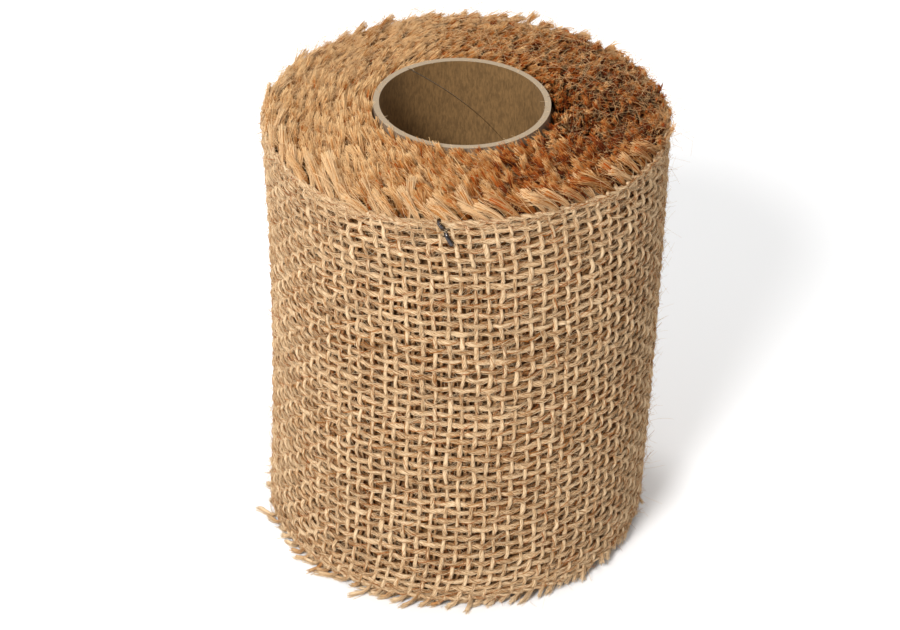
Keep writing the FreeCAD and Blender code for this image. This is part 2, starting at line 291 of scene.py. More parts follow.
def fibre_piece(name, material, lines, half_width, tones, sides=3, half_depth=None, normals=None):
    """Loose fibres as tubes. Their map is the fibre's tone, pale to dark, and the share of its length."""
    if normals is None:
        normals = np.broadcast_to(unit(chance.normal(size=(len(lines), 1, 3))), lines.shape)
    depth = half_width if half_depth is None else half_depth
    points, quads, tris, number, along, around = tubes(lines, normals, half_width, depth, sides)
    # clipped so that the map stays inside the picture
    tone = np.clip(tones[number], 0.01, 0.97) + 0.02 * around
    look = np.stack([tone, np.clip(along, 0.01, 0.99)], -1)
    return make_mesh(name, points, quads, tris, {"OFBake": look}, material)


# ---------------------------------------------------------------- materials


def srgb(red, green, blue):
    """A colour picked on the screen, as the shader wants it."""
    linear = [c / 12.92 if c <= 0.04045 else ((c + 0.055) / 1.055) ** 2.4 for c in (red, green, blue)]
    return (*linear, 1)


STRAW = srgb(0.88, 0.77, 0.62)
TAN = srgb(0.72, 0.58, 0.42)
UMBER = srgb(0.45, 0.30, 0.16)
CREAM = srgb(0.89, 0.75, 0.57)
HONEY = srgb(0.77, 0.59, 0.39)
AMBER = srgb(0.90, 0.745, 0.54)
OCHRE = srgb(0.76, 0.57, 0.36)
GOLD = srgb(0.67, 0.44, 0.21)
RUST = srgb(0.62, 0.28, 0.04)
BARK = srgb(0.30, 0.11, 0.01)
CUT_BOARD = srgb(0.60, 0.53, 0.44)
BLACK = (0, 0, 0, 1)
WHITE = (1, 1, 1, 1)


class Surface:
    """A material with one Principled shader, and short calls for the nodes that feed it."""

    def __init__(self, name, roughness, metallic=0.0, specular=0.5):
        self.material = bpy.data.materials.new(name)
        self.material.use_nodes = True
        self.tree = self.material.node_tree
        self.shader = self.tree.nodes["Principled BSDF"]
        self.set("Roughness", roughness)
        self.set("Metallic", metallic)
        self.set("Specular IOR Level", specular)

    def set(self, socket, value):
        """Feeds one of the shader's sockets with a value, or with another node's socket."""
        if isinstance(value, bpy.types.NodeSocket):
            self.tree.links.new(value, self.shader.inputs[socket])
        else:
            self.shader.inputs[socket].default_value = value

    def node(self, kind, inputs=None, **settings):
        """A new node, with its settings, and its inputs fed with values or sockets."""
        made = self.tree.nodes.new(kind)
        for key, value in settings.items():
            setattr(made, key, value)
        for key, value in (inputs or {}).items():
            if isinstance(value, bpy.types.NodeSocket):
                self.tree.links.new(value, made.inputs[key])
            else:
                made.inputs[key].default_value = value
        return made

    def placed(self, scale, layer=None, shear=0.0):
        """Texture coordinates stretched by scale, from a UV layer or from the object's own space."""
        if layer:
            source = self.node("ShaderNodeUVMap", uv_map=layer).outputs[0]
        else:
            source = self.node("ShaderNodeTexCoord").outputs["Object"]
        if shear:
            apart = self.node("ShaderNodeSeparateXYZ", {0: source})
            slid = self.node("ShaderNodeMath", {0: apart.outputs[0], 1: shear, 2: apart.outputs[1]},
                             operation="MULTIPLY_ADD")
            source = self.node("ShaderNodeCombineXYZ", {0: apart.outputs[0], 1: slid.outputs[0]}).outputs[0]
        return self.node("ShaderNodeMapping", {"Vector": source, "Scale": scale}).outputs[0]

    def noise(self, vector, detail=3.0, roughness=0.6, distortion=0.0):
        made = self.node("ShaderNodeTexNoise", {"Vector": vector, "Scale": 1.0, "Detail": detail,
                                                "Roughness": roughness, "Distortion": distortion})
        return made.outputs["Fac"]

    def ramp(self, factor, stops):
        made = self.node("ShaderNodeValToRGB", {0: factor})
        while len(made.color_ramp.elements) < len(stops):
            made.color_ramp.elements.new(0.5)
        for element, (position, colour) in zip(made.color_ramp.elements, stops):
            element.position = position
            element.color = colour
        return made.outputs[0]

    def math(self, operation, first, second, third=0.0):
        return self.node("ShaderNodeMath", {0: first, 1: second, 2: third}, operation=operation).outputs[0]

    def mix(self, factor, first, second):
        """The two colours mixed; 0, 6, 7 and 2 are a colour mix's own sockets."""
        return self.node("ShaderNodeMix", {0: factor, 6: first, 7: second}, data_type="RGBA").outputs[2]

    def bump(self, height, distance, strength):
        made = self.node("ShaderNodeBump", {"Height": height, "Distance": distance, "Strength": strength})
        self.set("Normal", made.outputs[0])


def spun_jute(name, shade=(1, 1, 1), pale=0.0):
    """Loosely spun jute: fine streaks along the twist, slow patches of tone, and a few golden flecks.

    shade darkens all its colours, as painted shade for cloth that lies under other cloth, and pale moves its tone
    towards straw.
    """
    look = Surface(name, roughness=0.8, specular=0.2)
    streaks = look.noise(look.placed((0.55, 6.0, 1.0), "yarn", shear=0.28), detail=4.0, roughness=0.65)
    patches = look.noise(look.placed((0.11, 0.23, 1.0), "yarn"), detail=2.0)
    flecks = look.noise(look.placed((0.5, 1.3, 1.0), "yarn"), detail=2.0)
    tone = look.math("MULTIPLY_ADD", patches, 0.7, look.math("MULTIPLY", streaks, 1.5))
    tone = look.math("ADD", tone, pale - 0.61)
    dark, mid, light, stain = ([channel * share for channel, share in zip(colour, shade)] + [1]
                               for colour in (UMBER, TAN, STRAW, GOLD))
    colour = look.ramp(tone, [(0.30, dark), (0.44, mid), (0.66, light)])
    stained = look.ramp(flecks, [(0.60, BLACK), (0.78, WHITE)])
    look.set("Base Color", look.mix(look.math("MULTIPLY", stained, 0.4), colour, stain))
    look.bump(streaks, 0.14 * MM, 1.0)
    return look.material


def loose_fibre(name, light, mid, root=0.0):
    """Single jute fibres: the map's first number is the tone, its second the share of the fibre's length.

    The tones go from light and mid to rust and bark, and root is added to the tone at a fibre's root, as painted
    shade where the tufts crowd.
    """
    look = Surface(name, roughness=0.75, specular=0.15)
    spread = look.node("ShaderNodeSeparateXYZ", {0: look.node("ShaderNodeUVMap", uv_map="OFBake").outputs[0]})
    tone, along = spread.outputs[0], spread.outputs[1]
    stops = [(0.0, light), (0.3, mid), (0.55, GOLD), (0.8, RUST), (1.0, BARK)]
    # painted shade: the tone darkens towards each fibre's root, where the tufts crowd together
    root_painted_shade = look.ramp(along, [(0.10, WHITE), (0.85, BLACK)])
    darker = look.math("MULTIPLY_ADD", root_painted_shade, root, tone)
    look.set("Base Color", look.ramp(darker, stops))
    return look.material


def paperboard(name, paper):
    """Paperboard: mottled, with short fibres, and a paler cut end."""
    look = Surface(name, roughness=0.85, specular=0.25)
    mottle = look.noise(look.placed((260, 260, 260)), detail=5.0, roughness=0.7)
    fibres = look.noise(look.placed((2600, 2600, 700)), detail=3.0, distortion=0.6)
    height = look.node("ShaderNodeSeparateXYZ", {0: look.placed((1, 1, 1))}).outputs[2]
    at_rim = look.math("GREATER_THAN", height, CORE_TOP - 0.05 * MM)
    darker = [channel * 0.60 for channel in paper[:3]] + [1]
    board = look.ramp(look.math("MULTIPLY_ADD", fibres, 0.65, look.math("MULTIPLY", mottle, 0.35)),
                      [(0.40, darker), (0.60, paper)])
    look.set("Base Color", look.mix(at_rim, board, CUT_BOARD))
    look.bump(fibres, 0.05 * MM, 0.6)
    return look.material


def staple_steel_painted_reflection():
    """Drawn wire with fine scratches along it, coloured dark grey as a painted reflection of dark surroundings."""
    look = Surface("staple_steel_painted_reflection", roughness=0.22, metallic=1.0)
    scratches = look.noise(look.placed((9000, 9000, 1500)), detail=3.0)
    # both tones are dark: a painted reflection of dark surroundings on the wire
    dark, light = srgb(0.20, 0.19, 0.19), srgb(0.38, 0.36, 0.36)
    look.set("Base Color", look.ramp(scratches, [(0.3, dark), (0.7, light)]))
    look.bump(scratches, 0.01 * MM, 0.5)
    return look.material


def tape_paper():
    """Pale paper with a faint grain."""
    look = Surface("tape_paper", roughness=0.6)
    grain = look.noise(look.placed((1500, 1500, 1500)), detail=2.0)
    dark, light = srgb(0.86, 0.83, 0.74), srgb(0.92, 0.90, 0.84)
    look.set("Base Color", look.ramp(grain, [(0.3, dark), (0.7, light)]))
    return look.material


WARP_YARN = spun_jute("jute_warp", pale=-0.03)
WEFT_YARN = spun_jute("jute_weft", pale=0.05)
EDGE_YARN = spun_jute("jute_edge_yarn", pale=0.04)
# the yarns of the turn below: the jute made darker and browner as painted shade
PAINTED_SHADE_YARN = spun_jute("jute_yarn_below_painted_shade", shade=(0.66, 0.54, 0.42))
# root: how much painted shade darkens these fibres towards their roots
FIBRE = loose_fibre("jute_fibre", AMBER, OCHRE, root=0.42)
OUTER_FIBRE = loose_fibre("jute_fibre_outer", CREAM, HONEY, root=0.06)
PALE_FIBRE = loose_fibre("jute_fibre_pale", STRAW, TAN, root=0.25)
HAIR = loose_fibre("jute_hair", STRAW, TAN)

# by material slot: the yarn's material, the fibres wound round it, how loose they are, and its short hairs
YARN_LOOKS = {
    "jute_warp_yarn": (WARP_YARN, 5, 0.28, 90),
    "jute_weft_yarn": (WEFT_YARN, 4, 0.12, 18),
    "jute_edge_yarn": (EDGE_YARN, 4, 0.30, 120),
}

# ---------------------------------------------------------------- the yarns' lines

# the weft yarns lie evenly along the whole ribbon, and each carries a tuft of the fringe at both ends
turn_table = np.linspace(0, TURNS + TAIL_TURNS, 6000)
length_table = np.concatenate([[0], np.cumsum(TAU * np.diff(turn_table) * winding_radius(turn_table[1:]))])
weft_count = int(length_table[-1] / WEFT_PITCH)
weft_places = (np.arange(weft_count) + 0.5 + chance.uniform(-0.11, 0.11, weft_count)) * WEFT_PITCH
WEFT_TURNS = np.interp(weft_places, length_table, turn_table)


def warp_heights():
    """The warp yarns' heights between the two edge yarns, closer together near the edges."""
    low, high = LOWER_EDGE + 1.2 * MM, UPPER_EDGE - 1.3 * MM
    count = round((high - low) / WARP_PITCH) + 2
    steps = np.arange(count - 1)
    crowd = 0.45 * np.exp(-steps / 1.3) + 0.35 * np.exp(-(count - 2 - steps) / 1.0)
    gaps = (1 - crowd) * chance.uniform(0.92, 1.08, count - 1)
    return low + (high - low) * np.concatenate([[0], np.cumsum(gaps)]) / gaps.sum()


WARP_HEIGHTS = warp_heights()


def weft_slide(height):
    """How far the wefts slide clockwise towards both edges, as the fringe has been rubbed round."""
    above = np.clip((height - (UPPER_EDGE - RUB_TOP_REACH)) / RUB_TOP_REACH, 0, None)
    below = np.clip(((LOWER_EDGE + RUB_BOTTOM_REACH) - height) / RUB_BOTTOM_REACH, 0, None)
    return RUB_TOP * above**2 + RUB_BOTTOM * below**2


def lumpy(count, rings, sides, amount):
    """Uneven yarn thickness: slow swelling along it and small dents round it."""
    swell = 1 + wander(np.arange(rings)[None], count, 40, amount)
    dents = chance.uniform(1 - 0.4 * amount, 1 + 0.4 * amount, (count, rings, sides))
    return swell[..., None] * dents


class Weave:
    """One turn or so of the cloth as crossing yarns, from first to last, counted in turns.

    Its lines have per_cell steps from one crossing to the next, and its yarns have so many sides.
    """

    def __init__(self, first, last, outward, per_cell, sides):
        self.outward, self.per_cell, self.sides = outward, per_cell, sides
        inside = (WEFT_TURNS >= first) & (WEFT_TURNS < last)
        self.wefts = WEFT_TURNS[inside]
        self.parity = np.flatnonzero(inside)
        cells = len(self.wefts)
        self.turns = np.linspace(first, last, cells * per_cell + 1)
        # a weft's number at any number of turns, so that the crossings fall where the yarns meet
        slope = WEFT_TURNS[1] - WEFT_TURNS[0]
        known = np.concatenate([[first - slope], self.wefts, [last + slope]])
        numbers = np.concatenate([[self.parity[0] - 1], self.parity, [self.parity[-1] + 1]])
        self.weft_number = np.interp(self.turns, known, numbers)

    def warps(self):
        """(lines, normals, half widths, lumps) of the warp yarns."""
        count, rings = len(WARP_HEIGHTS), len(self.turns)
        turns = np.broadcast_to(self.turns, (count, rings))
        along = turns * TAU * OUTER_RADIUS
        height = WARP_HEIGHTS[:, None] + wander(along, count, 17 * MM, 0.16 * MM)
        height = height + wander(along, 1, 60 * MM, 0.35 * MM)
        crossing = np.cos(math.pi * (self.weft_number[None] + np.arange(count)[:, None]))
        lines = on_roll(turns, height, self.outward - WARP_CRIMP * crossing)
        pinch = 1 - PINCH * np.abs(crossing)
        half_width = WARP_HALF_WIDTH * pinch * (1 + wander(along, count, SWELL_LENGTH, SWELL))
        return lines, outward_at(turns), half_width, lumpy(count, rings, self.sides, 0.20)

    def weft_lines(self):
        """(lines, normals, half widths, lumps) of the weft yarns."""
        count = len(self.wefts)
        cells = len(WARP_HEIGHTS) + 1
        rings = cells * self.per_cell + 1
        height = np.linspace(LOWER_EDGE, UPPER_EDGE, rings)
        known = np.concatenate([[LOWER_EDGE], WARP_HEIGHTS, [UPPER_EDGE]])
        warp_number = np.interp(height, known, np.arange(-1, len(WARP_HEIGHTS) + 1))
        drift = wander(height[None], count, 13 * MM, 0.20 * MM) + wander(height[None], 1, 50 * MM, 0.5 * MM)
        drift = drift - weft_slide(height)[None]
        turns = self.wefts[:, None] + drift / (TAU * winding_radius(self.wefts))[:, None]
        crossing = np.cos(math.pi * (warp_number[None] + self.parity[:, None]))
        lines = on_roll(turns, np.broadcast_to(height, turns.shape), self.outward + WEFT_CRIMP * crossing)
        pinch = 1 - PINCH * np.abs(crossing)
        half_width = WEFT_HALF_WIDTH * pinch * (1 + wander(height[None], count, SWELL_LENGTH, SWELL))
        return lines, outward_at(turns), half_width, lumpy(count, rings, self.sides, 0.18)

    def edge(self, height):
        """The lock yarn: two strands that cross between the wefts, one always outside."""
        strands, rings = 2, len(self.turns)
        turns = np.broadcast_to(self.turns, (strands, rings))
        along = turns * TAU * OUTER_RADIUS
        side = np.array([[0], [1]])
        crossing = np.cos(math.pi * (self.weft_number[None] + side))
        level = height + LOCK_SWAY * np.sin(math.pi * (self.weft_number[None] + side))
        level = level + wander(along, 1, 45 * MM, 0.25 * MM)
        lines = on_roll(turns, level, self.outward - LOCK_CRIMP * crossing)
        half_width = LOCK_HALF_WIDTH * (1 + wander(along, strands, 6 * MM, 0.25))
        return lines, outward_at(turns), half_width, lumpy(strands, rings, self.sides, 0.12)


def finish_piece(piece, replaced=(), on_tail=False):
    """Puts a piece on the roll or the tail, and hides the CAD nodes it replaces."""
    if on_tail:
        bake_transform(piece)
    else:
        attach(piece, "roll")
    if replaced:
        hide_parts(*replaced)
    return piece


def cut_along(parts, cuts, turns):
    """Cuts yarns that run round the roll into pieces that meet at the cuts, each with its first ring."""
    ends = [0] + [int(np.searchsorted(turns, cut)) for cut in cuts] + [len(turns) - 1]
    for first, last in zip(ends, ends[1:]):
        yield [part[:, first:last + 1] for part in parts], first


def weave_cloth():
    """The last whole turn and the tail, as crossing yarns that hold each other."""
    cloth = Weave(TURNS - 1, TURNS + TAIL_TURNS, CLOTH_MIDDLE, per_cell=4, sides=YARN_SIDES)
    cuts = [TURNS - 2 / 3, TURNS - 1 / 3, TURNS]
    tail = len(cuts)
    for kind, parts, roll_node, tail_node, slot in (
        ("warps", cloth.warps(), "outer_warp_yarns", "tail_warp_yarns", "jute_warp_yarn"),
        ("edge_top", cloth.edge(UPPER_EDGE - LOCK_INSET), "edge_yarn_top", "tail_edge_yarn_top",
         "jute_edge_yarn"),
        ("edge_bottom", cloth.edge(LOWER_EDGE + LOCK_INSET), "edge_yarn_bottom", "tail_edge_yarn_bottom",
         "jute_edge_yarn"),
    ):
        spacing = np.linalg.norm(np.diff(parts[0][0], axis=0), axis=-1).mean()
        for number, (cut, first) in enumerate(cut_along(parts, cuts, cloth.turns)):
            lines, normals, half_width, lumps = cut
            on_tail = number == tail
            nodes = [tail_node if on_tail else roll_node]
            name = f"tail_{kind}" if on_tail else f"outer_{kind}_{number + 1}"
            add_yarns(name, slot, on_tail, nodes, lines, normals, half_width, WARP_HALF_DEPTH, lumps, spacing,
                      first * spacing / MM)

    lines, normals, half_width, lumps = cloth.weft_lines()
    spacing = np.linalg.norm(np.diff(lines[0], axis=0), axis=-1).mean()
    limits = [TURNS - 1] + cuts + [TURNS + TAIL_TURNS]
    for number, (low, high) in enumerate(zip(limits, limits[1:])):
        some = (cloth.wefts >= low) & (cloth.wefts < high)
        on_tail = number == tail
        nodes = ["tail_weft_yarns", "tail_cloth"] if on_tail else ["outer_weft_yarns"]
        name = "tail_wefts" if on_tail else f"outer_wefts_{number + 1}"
        add_yarns(name, "jute_weft_yarn", on_tail, nodes, lines[some], normals[some], half_width[some],
                  WEFT_HALF_DEPTH, lumps[some], spacing)


def fuzz_on(lines, normals, half_depth, count):
    """Short hairs that leave the yarns at a slant and sag back towards them."""
    yarn = chance.integers(0, lines.shape[0], count)
    ring = chance.integers(1, lines.shape[1] - 1, count)
    along = unit(lines[yarn, ring + 1] - lines[yarn, ring - 1])
    outward = normals[yarn, ring]
    across = np.cross(along, outward)
    aside = chance.normal(0, 0.25 * MM, (count, 1))
    roots = lines[yarn, ring] + outward * (0.9 * half_depth) + across * aside
    heading = along * chance.choice([-1, 1], (count, 1)) + across * chance.normal(0, 0.7, (count, 1))
    directions = unit(heading) + outward * np.abs(chance.normal(0, 0.22, (count, 1)))
    lengths = chance.uniform(0.8, 3.0, count) * MM
    share = np.linspace(0, 1, 4)[:, None]
    sag = chance.uniform(-0.25, 0.0, (count, 1, 1)) * outward[:, None] + chance.normal(0, 0.22, (count, 1, 3))
    return roots[:, None] + lengths[:, None, None] * (directions[:, None] * share + sag * share**2)


def add_yarns(name, slot, on_tail, nodes, lines, normals, half_width, half_depth, lumps, spacing, marks=0.0):
    """A piece of yarns, one of the loose fibres wound round them, and one of short hairs."""
    material, strands, loose, hairs = YARN_LOOKS[slot]
    yarns = yarn_piece(name, material, lines, normals, half_width, half_depth, YARN_SIDES, lumps, marks)
    wound = wound_fibres(lines, normals, half_width, half_depth, strands, spacing, loose)
    thick = 0.050 * MM * chance.uniform(0.7, 1.6, (len(wound), 1))
    dark = chance.uniform(0, 1, len(wound)) < 0.30
    tones = np.where(dark, chance.uniform(0.38, 0.68, len(wound)), chance.uniform(0.0, 0.25, len(wound)))
    wrapped = fibre_piece(f"{name}_fibres", HAIR, wound, thick, tones)
    fuzz = fuzz_on(lines, normals, half_depth, hairs * len(lines))
    dark = chance.uniform(0, 1, len(fuzz)) < 0.4
    tones = np.where(dark, chance.uniform(0.38, 0.78, len(fuzz)), chance.uniform(0.0, 0.2, len(fuzz)))
    taper = np.linspace(0.045, 0.022, fuzz.shape[1])[None] * MM
    fuzzy = fibre_piece(f"{name}_fuzz", HAIR, fuzz, taper, tones)
    for piece, covered in ((yarns, nodes), (wrapped, ()), (fuzzy, ())):
        finish_piece(piece, covered, on_tail)


def weave_below():
    """The turn below, coarser: it shows only through the holes of the last turn, and its yarns are painted darker
    and browner as painted shade.
    """
    sides = 5
    cloth = Weave(TURNS - 2, TURNS - 1, CLOTH_MIDDLE + 0.05 * MM, per_cell=3, sides=sides)
    for name, parts_of, half_depth, slot in (
        ("below_warps", cloth.warps, WARP_HALF_DEPTH, "jute_warp_yarn"),
        ("below_wefts", cloth.weft_lines, WEFT_HALF_DEPTH, "jute_weft_yarn"),
    ):
        lines, normals, half_width, lumps = parts_of()
        piece = yarn_piece(name, PAINTED_SHADE_YARN, lines, normals, half_width, half_depth, sides, lumps)
        finish_piece(piece)


# ---------------------------------------------------------------- the fringe

# (first turn, last turn, fibres in each tuft)
TOP_BANDS = [(0, 5, 20), (5, 9, 20), (9, 14, 20), (14, 18, 22), (18, 21, 22), (21, 24, 24),
             (24, 26, 24), (26, 27, 28), (27, 28, 38)]
BOTTOM_BANDS = [(0, 16, 4), (16, 24, 6), (24, 27, 12), (27, 28, 24)]
TAIL_TUFT_FIBRES = 26
TUFT_ROOT = 0.9 * MM         # how far inside the cloth's edge a tuft starts
TUFT_HALF_DEPTH = 0.36 * MM
HEART_HALF_DEPTH = 0.28 * MM
SPLAYED_AT = math.radians(232)
RUST_AT = math.radians(-8)


def lean_of(turns, end):
    """The unit directions in which the tufts lean, clockwise and up or down, and the tufts' lengths.

    The outermost bottom tufts splay outward at the front left, and are shorter elsewhere.
    """
    count = len(turns)
    share = depth_share(winding_radius(turns))
    angle = HINGE_ANGLE + TAU * turns
    front = -np.sin(angle)
    # the tables go from the core, share 0, to the outside, share 1
    if end > 0:
        upward = np.interp(share, [0, 0.1, 0.93, 0.98], [0.62, 0.54, 0.54, 0.43]) + 0.08 * front
        inward = np.interp(share, [0, 0.2, 1.0], [0.05, 0.20, 0.36]) - 0.06 * front
        length = np.interp(share, [0, 0.3, 0.93, 0.98], [4.8, 4.9, 5.1, 6.9]) * MM * (1 + 0.20 * front)
        stray = np.interp(share, [0, 0.12, 0.3], [0.10, 0.14, 0.21])
    else:
        splayed = np.exp(1.6 * (np.cos(angle - SPLAYED_AT) - 1))
        upward = np.full(count, 0.58)
        inward = -np.interp(share, [0, 0.9, 0.97, 1.0], [0.0, 0.03, 0.32, 0.66]) * (0.15 + 0.95 * splayed)
        length = (6.2 - 3.8 * share**6 * (1 - splayed)) * MM * chance.uniform(0.65, 1.15, count)
        stray = 0.22
    upward = upward + chance.normal(0, 0.6 * stray, count)
    inward = inward + chance.normal(0, stray, count)
    around = np.sqrt(np.clip(1 - upward**2 - inward**2, 0.04, None)) + chance.normal(0, 0.5 * stray, count)
    lean = (clockwise_at(turns) * around[:, None] - outward_at(turns) * inward[:, None]
            + end * UP * np.clip(upward, 0.12, None)[:, None])
    return unit(lean), length * (1 + chance.normal(0, 0.12, count))


def tuft_lines(turns, end, fibres, width):
    """One tuft for each weft: the yarn's end untwisted into a brush, blunt at the tip.

    end is 1 for the top and -1 for the bottom. Returns the fibres' lines, and each tuft's middle line and the
    direction it is thin in.
    """
    count = len(turns)
    edge = UPPER_EDGE if end > 0 else LOWER_EDGE
    turns = turns - weft_slide(np.array(edge)) / (TAU * winding_radius(turns))
    root = on_roll(turns, np.full(count, edge - end * TUFT_ROOT), CLOTH_MIDDLE)
    lean, lengths = lean_of(turns, end)
    start = unit(lean + 0.5 * end * UP)
    spread = unit(np.cross(lean, outward_at(turns)))
    thin = np.cross(spread, lean)
    along = np.linspace(0, 1, 5)
    bend = along**2 / 2

    def path(length, begin, finish):
        step = begin[..., None, :] * (along - bend)[:, None] + finish[..., None, :] * bend[:, None]
        return length[..., None, None] * step

    core = root[:, None] + path(lengths, start, lean)
    core[..., 2] = np.maximum(core[..., 2], LOWEST)

    # each fibre keeps its place in the brush and strays a little
    angle = chance.uniform(0, TAU, (count, fibres))
    reach = np.sqrt(chance.uniform(0, 1, (count, fibres)))
    opened = 0.30 + 0.70 * along**1.1
    wide = width[:, None, None] * (reach * np.cos(angle))[..., None] * opened
    deep = TUFT_HALF_DEPTH * (reach * np.sin(angle))[..., None] * (0.7 + 0.3 * along)
    wild = 0.05 + 0.25 * (chance.uniform(0, 1, (count, fibres, 1)) < 0.10)
    own_lean = unit(lean[:, None] + chance.normal(0, 1, (count, fibres, 3)) * wild)
    own_start = unit(start[:, None] + chance.normal(0, 0.05, (count, fibres, 3)))
    own_length = lengths[:, None] * (1.04 - 0.20 * chance.uniform(0, 1, (count, fibres)) ** 2)
    lines = root[:, None, None] + path(own_length, own_start, own_lean)
    lines = lines + spread[:, None, None] * wide[..., None] + thin[:, None, None] * deep[..., None]
    lines = lines + chance.normal(0, 0.16 * MM, (count, fibres, 1, 3)) * np.sin(TAU * 0.75 * along)[:, None]
    lines[..., 2] = np.maximum(lines[..., 2], chance.uniform(0.12, 0.6, lines.shape[:2] + (1,)) * MM)
    held_within(lines, TUFT_REACH)
    return lines.reshape(-1, len(along), 3), core, thin


def rust_share(points):
    """How far the top's tufts turn from gold to rust-brown: strongest on the +X side."""
    toward = np.array([math.cos(RUST_AT), math.sin(RUST_AT)])
    lean = points[..., :2] @ toward / OUTER_RADIUS
    return np.clip((lean + 0.40) / 1.2, 0, 1)     # none from 0.4 radii away, full from 0.8 radii toward


def fringe_band(name, turns, end, fibres, replaced, on_tail=False):
    """A band of the fringe: the fibres of some turns, and the dense heart of each tuft, painted darker as painted
    shade.
    """
    count = len(turns)
    last_turn = np.clip((turns - (TURNS - 1.4)) / 0.4, 0, 1)
    wider = 0.48 if end > 0 else 0.14      # on the last turn
    width = (0.52 + wider * last_turn) * MM * (1 + chance.normal(0, 0.12, count))
    lines, core, thin = tuft_lines(turns, end, fibres, width)
    redder = rust_share(core[:, 0]) * (1 - 0.55 * last_turn) if end > 0 else np.full(count, -0.15)
    tuft_tone = 0.10 + 0.64 * redder + chance.normal(0, 0.14, count)
    tuft_tone = tuft_tone + 0.42 * redder * chance.uniform(-1, 1, count)
    tones = np.repeat(tuft_tone - 0.12 * last_turn, fibres) + chance.normal(0, 0.11, len(lines))
    taper = np.linspace(0.075, 0.050, lines.shape[1]) * MM
    half_width = taper * chance.uniform(0.6, 1.3, (len(lines), 1))
    outermost = turns[0] > TURNS - 1.1
    material = PALE_FIBRE if end < 0 else OUTER_FIBRE if outermost else FIBRE
    pieces = [fibre_piece(name, material, lines, half_width, tones)]

    shorter = core[:, :1] + 0.90 * (core - core[:, :1])
    opened = np.interp(np.linspace(0, 1, core.shape[1]), [0, 0.7, 1], [0.45, 0.80, 0.70])
    heart_width = 0.8 * width[:, None] * opened
    normals = np.broadcast_to(thin[:, None], shorter.shape)
    # painted shade: the hearts are darker than their tufts' fibres, so the gaps between tufts read dark
    heart_tone_painted_shade = tuft_tone + (0.34 if end > 0 else 0.10)
    heart_depth = HEART_HALF_DEPTH * opened[None]
    pieces.append(fibre_piece(f"{name}_hearts", material, shorter, heart_width, heart_tone_painted_shade, sides=6,
                              half_depth=heart_depth, normals=normals))
    for piece in pieces:
        finish_piece(piece, replaced, on_tail)


def make_fringes():
    """Tufts at both ends of every weft, in bands so that no piece is too heavy."""
    for end, bands in ((1, TOP_BANDS), (-1, BOTTOM_BANDS)):
        side = "top" if end > 0 else "bottom"
        for number, (first, last, fibres) in enumerate(bands):
            some = WEFT_TURNS[(WEFT_TURNS >= first) & (WEFT_TURNS < last)]
            fringe_band(f"fringe_{side}_{number + 1}", some, end, fibres, [f"fringe_{side}"])
        tail = WEFT_TURNS[WEFT_TURNS >= TURNS]
        fringe_band(f"tail_tufts_{side}", tail, end, TAIL_TUFT_FIBRES, [f"tail_fringe_{side}"], on_tail=True)


# ---------------------------------------------------------------- stray hairs


def hair_lines(roots, directions, lengths, curl, rings=7):
    """Curved hairs that start at the roots."""
    along = np.linspace(0, 1, rings)[:, None]
    bend = chance.normal(0, curl, (len(roots), 1, 3))
    twist = chance.normal(0, 0.5 * curl, (len(roots), 1, 3))
    path = directions[:, None] * along + bend * along**2 + twist * along**3
    return roots[:, None] + lengths[:, None, None] * path


def hair_lengths(scale, count):
    """Mostly short, a few long, and none past 5 mm."""
    return np.minimum(chance.gamma(3.0, scale, count) + 0.8 * MM, 5 * MM)


def add_hairs(name, material, lines, tones, thick):
    """A piece of hairs on the roll, thick millimetres in half width at the root and half that at the tip."""
    held_within(lines, HAIR_REACH)
    half_width = np.linspace(thick, 0.5 * thick, lines.shape[1]) * MM
    piece = fibre_piece(name, material, lines, half_width[None], np.clip(tones, 0, 0.9))
    finish_piece(piece)


def side_hairs(count):
    """Hairs that stand off the yarns all over the side."""
    turns = chance.uniform(TURNS - 1 + TAIL_TURNS + 0.01, TURNS - 0.01, count)
    height = chance.uniform(LOWER_EDGE + 1 * MM, UPPER_EDGE, count)
    roots = on_roll(turns, height, np.full(count, CLOTH_MIDDLE + 0.25 * MM))
    outward, clockwise = outward_at(turns), clockwise_at(turns)
    flat = chance.uniform(0, TAU, count)
    lift = np.abs(chance.normal(0, 0.28, count)) + 0.05
    directions = unit(clockwise * np.cos(flat)[:, None] + UP * np.sin(flat)[:, None]
                      + outward * lift[:, None])
    lines = hair_lines(roots, directions, hair_lengths(0.7 * MM, count), curl=0.40)
    # a hair that would dive into the cloth lies on it instead
    radial = np.linalg.norm(lines[..., :2], axis=-1)
    floor = np.linalg.norm(roots[:, :2], axis=-1)[:, None]
    lines[..., :2] *= (np.maximum(radial, floor) / radial)[..., None]
    lines[..., 2] = np.maximum(lines[..., 2], LOWEST)
    add_hairs("stray_hairs_side", HAIR, lines, 0.02 + np.abs(chance.normal(0, 0.10, count)), thick=0.028)


def gap_fuzz(count):
    """Short fibres that lie between the last two turns and show in the holes of the weave."""
    turns = chance.uniform(TURNS - 1, TURNS, count)
    height = chance.uniform(LOWER_EDGE + 1 * MM, UPPER_EDGE - 1 * MM, count)
    along = np.linspace(-0.5, 0.5, 5)
    length = chance.uniform(2.0, 5.5, (count, 1)) * MM
    slope = chance.uniform(0, math.pi, (count, 1))
    curve = chance.normal(0, 0.9, (count, 1)) * along**2
    level = height[:, None] + length * (along * np.sin(slope) + curve * np.cos(slope))
    around = length * (along * np.cos(slope) - curve * np.sin(slope)) / (TAU * OUTER_RADIUS)
    depth = CLOTH_MIDDLE + chance.uniform(-0.55, 0.10, (count, 1)) * MM
    depth = depth + chance.normal(0, 0.06, (count, len(along))) * MM
    lines = on_roll(turns[:, None] + around, level, depth)
    tones = np.where(chance.uniform(0, 1, count) < 0.5, 0.05, chance.uniform(0.5, 0.95, count))
    add_hairs("weave_fuzz", HAIR, lines, tones, thick=0.034)


